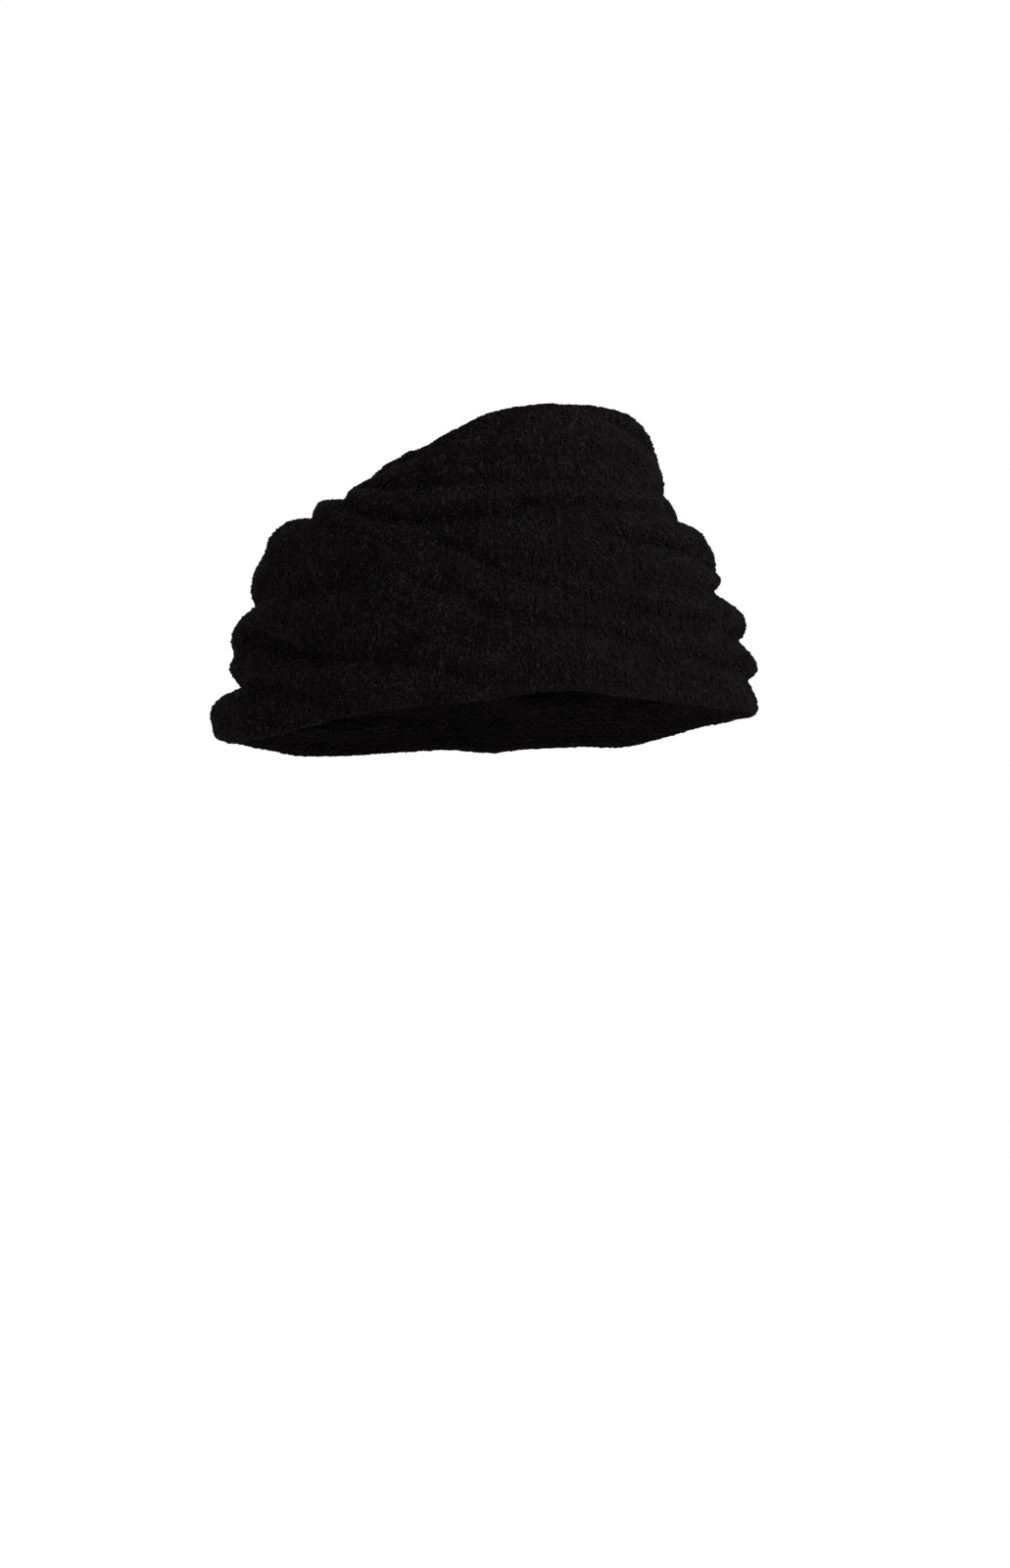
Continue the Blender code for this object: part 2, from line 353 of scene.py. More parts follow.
@dataclass
class KnitMap:
    """Where each stitch of the tube lies: wales of stitches round the neck, courses down the cloth.

    The sway of the wales is in degrees. The direction down the cloth is read over reach_along courses.
    """

    form: WrapForm
    wales: int = 150
    courses: int = 62
    fine_columns: int = 600
    fine_rows: int = 496
    sway: float = 2.4
    sway_round: int = 2
    sway_down: float = 0.8
    lip_room: float = 0.009
    girth_level: float = 0.6
    girth_stops: int = 1441
    reach_along: float = 0.25
    points: Array = field(init=False)
    normals: Array = field(init=False)
    course_height: float = field(init=False)

    def __post_init__(self) -> None:
        """Lay a fine grid on the form, even along each column of stitches."""
        turn = np.linspace(0, 1, self.fine_columns, endpoint=False)
        level = np.linspace(self.lip_room, 1 - self.lip_room, self.fine_rows + 1)
        angle, levels = np.meshgrid(self._even_angles(turn), level, indexing="ij")
        lean = np.sin(2 * math.pi * levels * self.sway_down + np.radians(angle) * self.sway_round)
        rough = self.form.outer(angle + self.sway * lean, levels)
        self.points = np.empty_like(rough)
        lengths = []
        for column, run in enumerate(rough):
            steps = np.linalg.norm(np.diff(run, axis=0), axis=1)
            length = np.concatenate([[0], np.cumsum(steps)])
            lengths.append(length[-1])
            even = np.linspace(0, length[-1], self.fine_rows + 1)
            for axis in range(3):
                self.points[column, :, axis] = np.interp(even, length, run[:, axis])
        self.course_height = float(np.mean(lengths)) / self.courses
        across = np.roll(self.points, -1, axis=0) - np.roll(self.points, 1, axis=0)
        down = np.gradient(self.points, axis=1)
        self.normals = unit(np.cross(down, across))

    def _even_angles(self, turn: Array) -> Array:
        """Angles that share a ring round the wrap evenly.

        Args:
            turn: Shares of the way round, from the throat's middle.

        Returns:
            The angle (degrees) at each.
        """
        fine = np.linspace(-180, 180, self.girth_stops)
        ring = self.form.crest(fine, np.full_like(fine, self.girth_level))
        length = np.concatenate([[0], np.cumsum(np.linalg.norm(np.diff(ring, axis=0), axis=1))])
        return np.interp(turn * length[-1], length, fine)

    def _read(self, grid: Array, wale: Array, course: Array) -> Array:
        """Grid values between its points.

        Args:
            grid: The points or the normals of the fine grid.
            wale: Places round the neck, in wales.
            course: Places down the cloth, in courses.

        Returns:
            One row of values for each place.
        """
        column = wale / self.wales * self.fine_columns
        row = np.clip(course / self.courses, 0, 1) * self.fine_rows
        low_column = np.floor(column).astype(int)
        low_row = np.minimum(np.floor(row).astype(int), self.fine_rows - 1)
        right, below = (column - low_column)[..., None], (row - low_row)[..., None]
        here, next_one = low_column % self.fine_columns, (low_column + 1) % self.fine_columns
        upper = grid[here, low_row] * (1 - right) + grid[next_one, low_row] * right
        lower = grid[here, low_row + 1] * (1 - right) + grid[next_one, low_row + 1] * right
        return upper * (1 - below) + lower * below

    def place(self, wale: Array, course: Array, height: Array) -> Array:
        """Points over the outer face.

        Args:
            wale: Places round the neck, in wales.
            course: Places down the cloth, in courses. A place past an edge runs straight on.
            height: Heights (mm) over the outer face.

        Returns:
            One point (mm) for each place.
        """
        normal = unit(self._read(self.normals, wale, course))
        beyond = np.clip(course, 0, self.courses)
        base = self._read(self.points, wale, beyond)
        past = (course - beyond)[..., None] * self.course_height
        lower = self._read(self.points, wale, np.minimum(beyond + self.reach_along, self.courses))
        upper = self._read(self.points, wale, np.maximum(beyond - self.reach_along, 0))
        return base + past * unit(lower - upper) + np.asarray(height)[..., None] * normal

    def normal(self, wale: Array, course: Array) -> Array:
        """Outward directions at a place in wales and courses."""
        return unit(self._read(self.normals, wale, course))

    def pitch(self, wale: Array, course: Array) -> Array:
        """Width (mm) of a stitch at a place in wales and courses."""
        one, other = (self._read(self.points, wale + half, course) for half in (-0.5, 0.5))
        return np.linalg.norm(other - one, axis=-1)


# ---- Finishes ----


def feed(tree: bpy.types.NodeTree, node: bpy.types.Node, inputs: dict[str | int, object]) -> None:
    """Wire or set a node's inputs.

    Args:
        tree: The node's tree.
        node: The node.
        inputs: For each of its sockets, the socket that feeds it, or a constant.
    """
    for socket, value in inputs.items():
        if isinstance(value, bpy.types.NodeSocket):
            tree.links.new(value, node.inputs[socket])
        else:
            node.inputs[socket].default_value = value


def add_node(
    tree: bpy.types.NodeTree, kind: str, inputs: dict[str | int, object], **settings: object
) -> bpy.types.NodeOutputs:
    """Add a shader node.

    Args:
        tree: Where it goes.
        kind: The name of its kind.
        inputs: What feed() gives its sockets.
        settings: Its settings.

    Returns:
        Its outputs.
    """
    node = tree.nodes.new(f"ShaderNode{kind}")
    for name, value in settings.items():
        setattr(node, name, value)
    feed(tree, node, inputs)
    return node.outputs


@dataclass(frozen=True)
class WoolTone:
    """What turns a tone and fine specks into the wool's colour and its fibres' height."""

    detail: float = 3.0
    roughness: float = 0.65
    middle: float = 0.5

    def group(self) -> bpy.types.ShaderNodeTree:
        """The node group that every finish of the wrap shares.

        Returns:
            A group that puts out a colour and a height.
        """
        group = bpy.data.node_groups.new("wool tone", "ShaderNodeTree")
        taken = {"Tone": "Float", "Dark": "Color", "Light": "Color"}
        taken |= {"Speck size": "Float", "Speck strength": "Float"}
        given = {"Colour": "Color", "Height": "Float"}
        for way, sockets in (("INPUT", taken), ("OUTPUT", given)):
            for name, kind in sockets.items():
                group.interface.new_socket(name, in_out=way, socket_type=f"NodeSocket{kind}")
        inlet = group.nodes.new("NodeGroupInput").outputs
        place = add_node(group, "TexCoord", {})["Object"]
        scale = add_node(group, "Math", {0: 1.0, 1: inlet["Speck size"]}, operation="DIVIDE")[0]
        fibres = {"Vector": place, "Scale": scale, "Detail": self.detail, "Roughness": self.roughness}
        specks = add_node(group, "TexNoise", fibres)["Fac"]
        centred = add_node(group, "Math", {0: specks, 1: self.middle}, operation="SUBTRACT")[0]
        shares = {0: centred, 1: inlet["Speck strength"], 2: inlet["Tone"]}
        tone = add_node(group, "Math", shares, operation="MULTIPLY_ADD")[0]
        colours = {"Factor": tone, MIX_DARK: inlet["Dark"], MIX_LIGHT: inlet["Light"]}
        mix = add_node(group, "Mix", colours, data_type="RGBA", clamp_factor=True)[MIX_RESULT]
        feed(group, group.nodes.new("NodeGroupOutput"), {"Colour": mix, "Height": specks})
        return group


@dataclass(frozen=True)
class WoolFinish:
    """Near-black fuzzy wool. The speck size and the bump height are in millimetres."""

    name: str
    dark: Colour
    light: Colour
    speck_size: float
    speck_strength: float
    bump: float
    bump_height: float
    sheen: float
    sheen_roughness: float = 0.55
    sheen_tint: Colour = (1.0, 0.93, 0.95)
    roughness: float = 1.0
    specular: float = 0.05

    def material(self, group: bpy.types.ShaderNodeTree) -> bpy.types.Material:
        """The finish as a material.

        Args:
            group: The group that WoolTone makes.

        Returns:
            A Principled material.
        """
        material = bpy.data.materials.new(self.name)
        material.use_nodes = True
        tree = material.node_tree
        strands = {
            "Tone": add_node(tree, "Attribute", {}, attribute_name="tone")["Fac"],
            "Dark": (*self.dark, 1.0),
            "Light": (*self.light, 1.0),
            "Speck size": self.speck_size * MM,
            "Speck strength": self.speck_strength,
        }
        wool = add_node(tree, "Group", strands, node_tree=group)
        grain = {"Height": wool["Height"], "Strength": self.bump, "Distance": self.bump_height * MM}
        surface = {
            "Base Color": wool["Colour"],
            "Normal": add_node(tree, "Bump", grain)["Normal"],
            "Roughness": self.roughness,
            "Specular IOR Level": self.specular,
            "Sheen Weight": self.sheen,
            "Sheen Roughness": self.sheen_roughness,
            "Sheen Tint": (*self.sheen_tint, 1.0),
        }
        feed(tree, tree.nodes["Principled BSDF"], surface)
        return material


YARN = WoolFinish(
    "wool yarn", dark=(0.0070, 0.0057, 0.0062), light=(0.0340, 0.0278, 0.0301),
    speck_size=0.9, speck_strength=0.22, bump=0.5, bump_height=0.25, sheen=0.02,
)
# The ground's colour is the cloth's own, kept a little darker than the yarn's as painted shade in the gaps
# between the stitches.
GROUND_WITH_PAINTED_SHADE = WoolFinish(
    "wool ground with painted shade", dark=(0.0085, 0.0070, 0.0076), light=(0.0200, 0.0164, 0.0178),
    speck_size=1.1, speck_strength=0.9, bump=0.5, bump_height=0.3, sheen=0.02,
)
FIBRE = WoolFinish(
    "wool fibre", dark=(0.0080, 0.0065, 0.0070), light=(0.0240, 0.0195, 0.0212),
    speck_size=1.5, speck_strength=0.4, bump=0.1, bump_height=0.05, sheen=0.04,
)


@dataclass(frozen=True)
class FloorFinish:
    """Pale matt floor that fades into the white surroundings, between two shares of its radius."""

    colour: Colour = (0.86, 0.86, 0.86)
    roughness: float = 0.9
    fade_from: float = 0.03
    fade_to: float = 0.15
    least_glow: float = 0.6

    def material(self, radius: float) -> bpy.types.Material:
        """The finish as a material.

        Args:
            radius: The floor's radius (m).

        Returns:
            A Principled material that glows to the eye towards its rim.
        """
        material = bpy.data.materials.new("pale floor")
        material.use_nodes = True
        tree = material.node_tree
        paint = tree.nodes["Principled BSDF"]
        feed(tree, paint, {"Base Color": (*self.colour, 1.0), "Roughness": self.roughness})
        place = add_node(tree, "TexCoord", {})["Object"]
        span = {
            "Value": add_node(tree, "VectorMath", {0: place}, operation="LENGTH")["Value"],
            "From Min": radius * self.fade_from,
            "From Max": radius * self.fade_to,
            "To Min": self.least_glow,
        }
        fade = add_node(tree, "MapRange", span, interpolation_type="SMOOTHERSTEP")["Result"]
        seen = add_node(tree, "LightPath", {})["Is Camera Ray"]
        share = add_node(tree, "Math", {0: fade, 1: seen}, operation="MULTIPLY")[0]
        glow = add_node(tree, "Emission", {"Color": WHITE})["Emission"]
        mix = add_node(tree, "MixShader", {"Fac": share, 1: paint.outputs["BSDF"], 2: glow})["Shader"]
        feed(tree, tree.nodes["Material Output"], {"Surface": mix})
        return material


# ---- Meshes ----


def make_piece(name: str, points: Array, faces: Array, tone: Array) -> Piece:
    """A smooth-shaded mesh object.

    Args:
        name: The piece's name.
        points: Points in millimetres.
        faces: Point numbers of each face.
        tone: How light the wool is at each point, kept between 0 and 1.

    Returns:
        The new object, linked to the scene.
    """
    mesh = bpy.data.meshes.new(name)
    mesh.from_pydata(points * MM, [], faces)
    layer = mesh.attributes.new("tone", "FLOAT", "POINT")
    layer.data.foreach_set("value", np.clip(tone, 0, 1).astype(np.float32))
    mesh.shade_smooth()
    mesh.update()
    piece = bpy.data.objects.new(name, mesh)
    bpy.context.scene.collection.objects.link(piece)
    return piece


def repeated(template: Array, each: int, count: int) -> Array:
    """Faces of a number of like bodies in one mesh, from the faces and the count of points of one."""
    faces = template[None] + each * np.arange(count)[:, None, None]
    return faces.reshape(-1, template.shape[1])


def spindle_faces(rings: int, sides: int) -> Array:
    """Triangles of a closed spindle: a tip, its rings and a tip.

    Args:
        rings: How many rings.
        sides: Sides of a ring.

    Returns:
        Three point numbers for each triangle.
    """
    faces = []
    last = 1 + rings * sides
    for side in range(sides):
        onward = (side + 1) % sides
        faces.append((0, 1 + side, 1 + onward))
        for ring in range(rings - 1):
            low, high = 1 + ring * sides, 1 + (ring + 1) * sides
            faces.append((low + side, high + side, low + onward))
            faces.append((low + onward, high + side, high + onward))
        faces.append((last - sides + side, last, last - sides + onward))
    return np.array(faces)


def spindles(
    spine: Array, outward: Array, radius: Array, flatten: float, sides: int, first: float = 0.0
) -> Array:
    """Points of many closed spindles of yarn.

    Args:
        spine: Centre line of each: tip, ring centres, tip.
        outward: The cloth's outward direction at each of those points.
        radius: Radius (mm) of each ring.
        flatten: Height of a ring as a share of its width.
        sides: Sides of a ring.
        first: Turn of a ring's first corner, where a quarter turn is outward.

    Returns:
        The points of each spindle, as spindle_faces numbers them.
    """
    along = unit(np.gradient(spine, axis=1))[:, 1:-1]
    side_way = unit(np.cross(along, outward[:, 1:-1]))
    up_way = np.cross(side_way, along)
    turn = 2 * math.pi * (np.arange(sides) / sides + first)
    across = np.cos(turn)[None, None, :, None] * side_way[:, :, None, :]
    upward = np.sin(turn)[None, None, :, None] * up_way[:, :, None, :] * flatten
    rings = spine[:, 1:-1, None, :] + (across + upward) * radius[:, :, None, None]
    count = len(spine)
    return np.concatenate([spine[:, :1], rings.reshape(count, -1, 3), spine[:, -1:]], axis=1)


def spindle_piece(name: str, points: Array, sides: int, tones: Array) -> Piece:
    """One joined mesh of many closed spindles.

    Args:
        name: The piece's name.
        points: Points (mm) of each spindle, as spindles() gives them.
        sides: Sides of a ring.
        tones: How light the yarn of each spindle is.

    Returns:
        The new object.
    """
    count, each = points.shape[:2]
    faces = repeated(spindle_faces((each - 2) // sides, sides), each, count)
    return make_piece(name, points.reshape(-1, 3), faces, np.repeat(tones, each))


class Ripple(NamedTuple):
    """A wave in how far the knit is pulled out of place: waves round it, turn for each course, share."""

    round_neck: int
    down: float
    share: float

    def read(self, turn: Array, course: Array, shift: float) -> Array:
        """The pull at a share of the way round and a course, with the wave's phase shifted."""
        phase = turn * 2 * math.pi * self.round_neck + course * self.down + shift * self.round_neck
        return self.share * np.sin(phase)


RIPPLES = (
    Ripple(31, 0.9, 0.45),
    Ripple(-47, 1.7, 0.4),
    Ripple(61, -2.3, 0.35),
    Ripple(-19, 2.9, 0.4),
)
WIDEST_STITCH = 4.2  # mm; where the knit is pulled wider than this, its yarn gets no fatter


def wander(turn: Array, course: Array, shift: float) -> Array:
    """How far, from about -1 to 1, the knit is pulled out of place. The shift sets two directions apart."""
    return sum(wave.read(turn, course, shift) for wave in RIPPLES)


class ToneWave(NamedTuple):
    """A slow wave of lighter and darker wool: turn for each millimetre along X, Y and Z, and phase."""

    x: float
    y: float
    z: float
    phase: float

    def read(self, points: Array) -> Array:
        """The wave, from -1 to 1, at points in millimetres."""
        turn = points[..., 0] * self.x + points[..., 1] * self.y + points[..., 2] * self.z
        return np.sin(turn + self.phase)


@dataclass
class ToneField:
    """Slow mottling of the wool: how light it is at a place, from 0 to 1."""

    waves: tuple[ToneWave, ...] = (
        ToneWave(0.11, -0.06, 0.09, 0.4),
        ToneWave(-0.05, 0.13, 0.21, 2.2),
        ToneWave(0.24, 0.17, -0.14, 4.0),
        ToneWave(0.31, -0.27, 0.33, 1.1),
        ToneWave(0.74, 0.35, -0.22, 3.1),
        ToneWave(-0.66, 0.58, 0.30, 5.2),
    )
    middle: float = 0.20
    reach: float = 0.035

    def read(self, points: Array) -> Array:
        """How light the wool is at points in millimetres."""
        return sum((self.reach * wave.read(points) for wave in self.waves), start=self.middle)


@dataclass(frozen=True)
class Flecks:
    """How much lighter than the cloth single strands are: most a little, a few a lot."""

    drop: float
    crowd: float
    step: float
    lightest: float = 0.75

    def tones(self, rng: np.random.Generator, base: Array) -> Array:
        """The tone of each strand, from how light the cloth is under it."""
        return np.minimum(base - self.drop + rng.gamma(self.crowd, self.step, len(base)), self.lightest)


class Side(Enum):
    """A quarter of the tube, by the share of the way round, from the throat, at which it begins."""

    LEFT = 0.125
    BACK = 0.375
    RIGHT = 0.625
    THROAT = 0.875


class Half(Enum):
    """A half of the tube, by the share of the way round, from the throat, at which it begins."""

    BACK = 0.25
    THROAT = 0.75


class Edge(Enum):
    """An edge of the tube, by the name of the yarn round its lip."""

    UPPER = "upper_edge_roll"
    HEM = "hem_roll"


@dataclass
class WoolPart:
    """A part of the wrap, laid out on the stitches and dressed in a finish of the wool."""

    knit: KnitMap
    tone: ToneField
    finish: ClassVar[WoolFinish] = YARN

    def build(self) -> Piece:
        """The part as one mesh, not yet dressed."""
        raise NotImplementedError

    def dress(self, piece: Piece, material: bpy.types.Material) -> Piece:
        """Give a piece its finish, slot and body, and report it.

        Args:
            piece: What build() made.
            material: The part's finish as a material.

        Returns:
            The same piece.
        """
        piece.data.materials.append(material)
        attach(piece, BODY)
        piece.data.calc_loop_triangles()
        LOG.info("%s: %d triangles", piece.name, len(piece.data.loop_triangles))
        return piece


@dataclass
class ClothShell(WoolPart):
    """The cloth that carries the yarn of both faces, in the cloth's own colour kept a little darker than
    the yarn as painted shade in the gaps between the stitches. Its sink and thickness are in millimetres.
    """

    columns: int = 200
    rows: int = 64
    outer_sink: float = 0.52
    thickness: float = 1.86
    finish: ClassVar[WoolFinish] = GROUND_WITH_PAINTED_SHADE

    def build(self) -> Piece:
        """A closed shell: outer rows from the upper edge to the hem, inner rows back up.

        Returns:
            The shell.
        """
        knit = self.knit
        turn = np.arange(self.columns) * knit.wales / self.columns
        wale, course = np.meshgrid(turn, np.linspace(0, knit.courses, self.rows + 1), indexing="ij")
        outer = knit.place(wale, course, np.full_like(wale, -self.outer_sink))
        inner = knit.place(wale, course, np.full_like(wale, -self.outer_sink - self.thickness))
        loop = np.concatenate([outer, inner[:, ::-1]], axis=1)
        around = loop.shape[1]
        column, step = np.meshgrid(np.arange(self.columns), np.arange(around), indexing="ij")
        column, step = column.ravel(), step.ravel()
        onward, following = (column + 1) % self.columns, (step + 1) % around
        here, there = column * around, onward * around
        faces = np.stack([here + step, here + following, there + following, there + step], axis=1)
        points = loop.reshape(-1, 3)
        return make_piece("knit_ground", points, faces, self.tone.read(points))


@dataclass
class Stitches(WoolPart):
    """The knit's face on one quarter of the tube: two slanting legs of yarn for each stitch.

    A leg's points are across and down in stitches and up in millimetres. Each spread is the standard
    deviation of an unevenness.
    """

    side: Side
    leg_points: tuple[Place, ...] = (
        (0.07, 0.74, -0.95),
        (0.13, 0.36, 0.02),
        (0.235, 0.0, 0.16),
        (0.33, -0.36, 0.0),
        (0.36, -0.76, -1.0),
    )
    leg_radii: tuple[float, float, float] = (0.82, 1.0, 0.86)
    fatness: float = 0.30
    flatten: float = 0.86
    sides: int = 3
    first_corner: float = 0.25
    arch: float = 0.9
    sink: float = 0.62
    pull: float = 0.13
    pull_shifts: Pair = (0.3, 2.6)
    lean_spread: float = 0.10
    across_spread: float = 0.04
    curl_spread: float = 0.055
    length_spread: float = 0.10
    down_spread: float = 0.07
    yarn_spread: float = 0.12
    ring_spread: float = 0.09
    rise_spread: float = 0.10
    bump_spread: float = 0.16
    corner_spread: float = 0.04
    tone_spread: float = 0.10
    seed: int = SEED

    def build(self) -> Piece:
        """All the stitches of the quarter.

        Returns:
            One joined mesh.
        """
        rng = np.random.default_rng(self.seed + int(self.side.value * 1000))
        knit = self.knit
        first = round(self.side.value * knit.wales)
        last = round((self.side.value + 1 / len(Side)) * knit.wales)
        wale, course = np.meshgrid(np.arange(first, last), np.arange(knit.courses), indexing="ij")
        wale, course = wale.ravel() + 0.5, course.ravel() + 0.5
        points, tones = [], []
        for hand in (-1, 1):
            legs, base = self._legs(rng, hand, wale, course)
            points.append(legs)
            tones.append(base + rng.normal(0, self.tone_spread, len(wale)))
        name = f"stitches_{self.side.name.lower()}"
        return spindle_piece(name, np.concatenate(points), self.sides, np.concatenate(tones))

    def _legs(
        self, rng: np.random.Generator, hand: int, wale: Array, course: Array
    ) -> tuple[Array, Array]:
        """One leg of each stitch.

        Args:
            rng: Where the chance comes from.
            hand: -1 for the left legs and 1 for the right ones.
            wale: Middle of each stitch, in wales.
            course: Middle of each stitch, in courses.

        Returns:
            Points (mm) of each leg, and how light the cloth is there.
        """
        knit, count, shape = self.knit, len(wale), np.array(self.leg_points)
        stops, rings = len(shape), len(self.leg_radii)
        jitter = rng.normal(0, 1, (count, 4))
        slant = self.lean_spread * rng.normal(0, 1, (count, 1)) * shape[:, 1]
        across = hand * shape[:, 0] + self.across_spread * jitter[:, :1] + slant
        across = across + rng.normal(0, self.curl_spread, (count, stops))
        down = shape[:, 1] * (1 + self.length_spread * jitter[:, 1:2]) + self.down_spread * jitter[:, 2:3]
        pull_across, pull_down = (wander(wale / knit.wales, course, shift) for shift in self.pull_shifts)
        at_wale = wale[:, None] + across + self.pull * pull_across[:, None]
        at_course = course[:, None] + down + self.pull * pull_down[:, None]
        pitch = np.minimum(knit.pitch(wale, course), WIDEST_STITCH)
        radius = self.fatness * pitch * (1 + self.yarn_spread * jitter[:, 3])
        radius = radius[:, None] * np.array(self.leg_radii)
        radius = radius * (1 + rng.normal(0, self.ring_spread, (count, rings)))
        height = shape[:, 2] * self.arch - self.sink + rng.normal(0, self.bump_spread, (count, stops))
        spine = knit.place(at_wale, at_course, height + self.rise_spread * jitter[:, :1])
        outward = knit.normal(at_wale, at_course)
        legs = spindles(spine, outward, radius, self.flatten, self.sides, self.first_corner)
        return legs + rng.normal(0, self.corner_spread, legs.shape), self.tone.read(spine[:, 2])


@dataclass
class PurlBumps(WoolPart):
    """The knit's inner face: one short bow of yarn across each stitch, rows shifted by half a stitch. Its
    yarn is darker than the cloth, partly for the purl face's fewer light curls and partly as painted shade
    inside the tube.

    The stops of a bow are across, in stitches. Each spread is the standard deviation of an unevenness.
    """

    stops: tuple[float, ...] = (-0.62, -0.26, 0.26, 0.62)
    depth: float = 1.78
    bulge: float = 0.22
    bow: float = 0.30
    fatness: float = 0.33
    flatten: float = 0.9
    sides: int = 4
    length_spread: float = 0.12
    across_spread: float = 0.06
    down_spread: float = 0.12
    curl_spread: float = 0.06
    depth_spread: float = 0.10
    ring_spread: float = 0.12
    # Darker purl yarn: partly the purl face's fewer light curls, partly painted shade inside the tube.
    tone_and_shade_drop: float = 0.06
    tone_spread: float = 0.04
    seed: int = SEED + 31

    def build(self) -> Piece:
        """All the bows, each bulging into the hollow.

        Returns:
            One joined mesh.
        """
        rng = np.random.default_rng(self.seed)
        knit = self.knit
        wale, course = np.meshgrid(np.arange(knit.wales), np.arange(knit.courses), indexing="ij")
        wale = (wale + 0.5 * (course % 2)).ravel() + 0.5
        course = course.ravel() + 0.5
        count, along = len(wale), np.array(self.stops)
        arch = 1 - (along / along[-1]) ** 2
        jitter = rng.normal(0, 1, (count, 4))
        at_wale = wale[:, None] + along * (1 + self.length_spread * jitter[:, :1])
        at_wale = at_wale + self.across_spread * jitter[:, 1:2]
        rise = self.bow * arch + self.down_spread * jitter[:, 2:3]
        rise = rise + rng.normal(0, self.curl_spread, (count, len(along)))
        at_course = np.clip(course[:, None] - rise, 0, knit.courses)
        height = -self.depth - self.bulge * arch + self.depth_spread * jitter[:, 3:]
        spine = knit.place(at_wale, at_course, height)
        outward = knit.normal(at_wale, at_course)
        pitch = np.minimum(knit.pitch(wale, course), WIDEST_STITCH)[:, None]
        radius = self.fatness * pitch * (1 + rng.normal(0, self.ring_spread, (count, len(along) - 2)))
        bows = spindles(spine, outward, radius, self.flatten, self.sides)
        tones = self.tone.read(spine[:, 1]) - self.tone_and_shade_drop + rng.normal(0, self.tone_spread, count)
        return spindle_piece("purl_bumps", bows, self.sides, tones)


@dataclass(frozen=True)
class CurlSize:
    """Least and most of a curl's length (mm), turn from end to end (radians) and radius (mm)."""

    length: Pair
    bend: Pair
    radius: Pair

    def paths(self, rng: np.random.Generator, heading: Array, stops: int) -> tuple[Array, Array]:
        """Flat arcs of yarn.

        Args:
            rng: Where the chance comes from.
            heading: Direction (radians) of each arc at its middle.
            stops: Points along each arc.

        Returns:
            How far across and how far down (mm) each point lies from the middle of its arc.
        """
        count = len(heading)
        turn = rng.uniform(*self.bend, count) * rng.choice((-1, 1), count)
        angle = heading[:, None] + turn[:, None] * np.linspace(-0.5, 0.5, stops)
        step = (rng.uniform(*self.length, count) / (stops - 1))[:, None]
        across = np.cumsum(np.cos(angle) * step, axis=1)
        down = np.cumsum(np.sin(angle) * step, axis=1)
        return across - across.mean(axis=1, keepdims=True), down - down.mean(axis=1, keepdims=True)


@dataclass
class EdgeRoll(WoolPart):
    """Yarn that lies round the lip of an edge, so that it ends soft and a little uneven."""

    edge: Edge
    count: int = 760
    sides: int = 4
    size: CurlSize = CurlSize(length=(3.2, 6.6), bend=(0.2, 2.2), radius=(0.50, 0.78))
    taper: tuple[float, float, float, float] = (0.8, 1.0, 1.0, 0.8)
    flatten: float = 0.9
    heading_spread: float = 0.5
    furthest_turn: float = 1.4
    lip_middle: float = -1.35
    lip: float = 0.90
    lip_spread: float = 0.10
    end_sink: float = 0.45
    girth: float = 1.4
    reach: float = 0.68
    flecks: Flecks = Flecks(drop=0.27, crowd=1.1, step=0.14)
    seed: int = SEED + 7

    def build(self) -> Piece:
        """Short curls laid mostly along the edge, from its outer face round to its inner face.

        Returns:
            One joined mesh.
        """
        at_hem = self.edge is Edge.HEM
        rng = np.random.default_rng(self.seed + int(at_hem))
        knit, count, stops = self.knit, self.count, len(self.taper) + 2
        edge, beyond = (float(knit.courses), 1.0) if at_hem else (0.0, -1.0)
        wale = (np.arange(count) + rng.uniform(0, 1, count)) * knit.wales / count
        across, round_lip = self.size.paths(rng, rng.normal(0, self.heading_spread, count), stops)
        at_wale = wale[:, None] + across / knit.pitch(wale, np.full(count, edge))[:, None]
        turn = rng.uniform(-self.furthest_turn, self.furthest_turn, count)[:, None] + round_lip / self.girth
        lip = self.lip * (1 + rng.normal(0, self.lip_spread, (count, 1)))
        lip = lip * (1 - self.end_sink * np.linspace(-1, 1, stops) ** 4)
        course = edge + beyond * self.reach * lip * np.cos(turn) / knit.course_height
        middle = knit.place(at_wale, np.full_like(at_wale, edge), np.full_like(at_wale, self.lip_middle))
        spine = knit.place(at_wale, course, self.lip_middle + lip * np.sin(turn))
        radius = rng.uniform(*self.size.radius, count)[:, None] * np.array(self.taper)
        curls = spindles(spine, unit(spine - middle), radius, self.flatten, self.sides)
        tones = self.flecks.tones(rng, self.tone.read(spine[:, 2]))
        return spindle_piece(self.edge.value, curls, self.sides, tones)


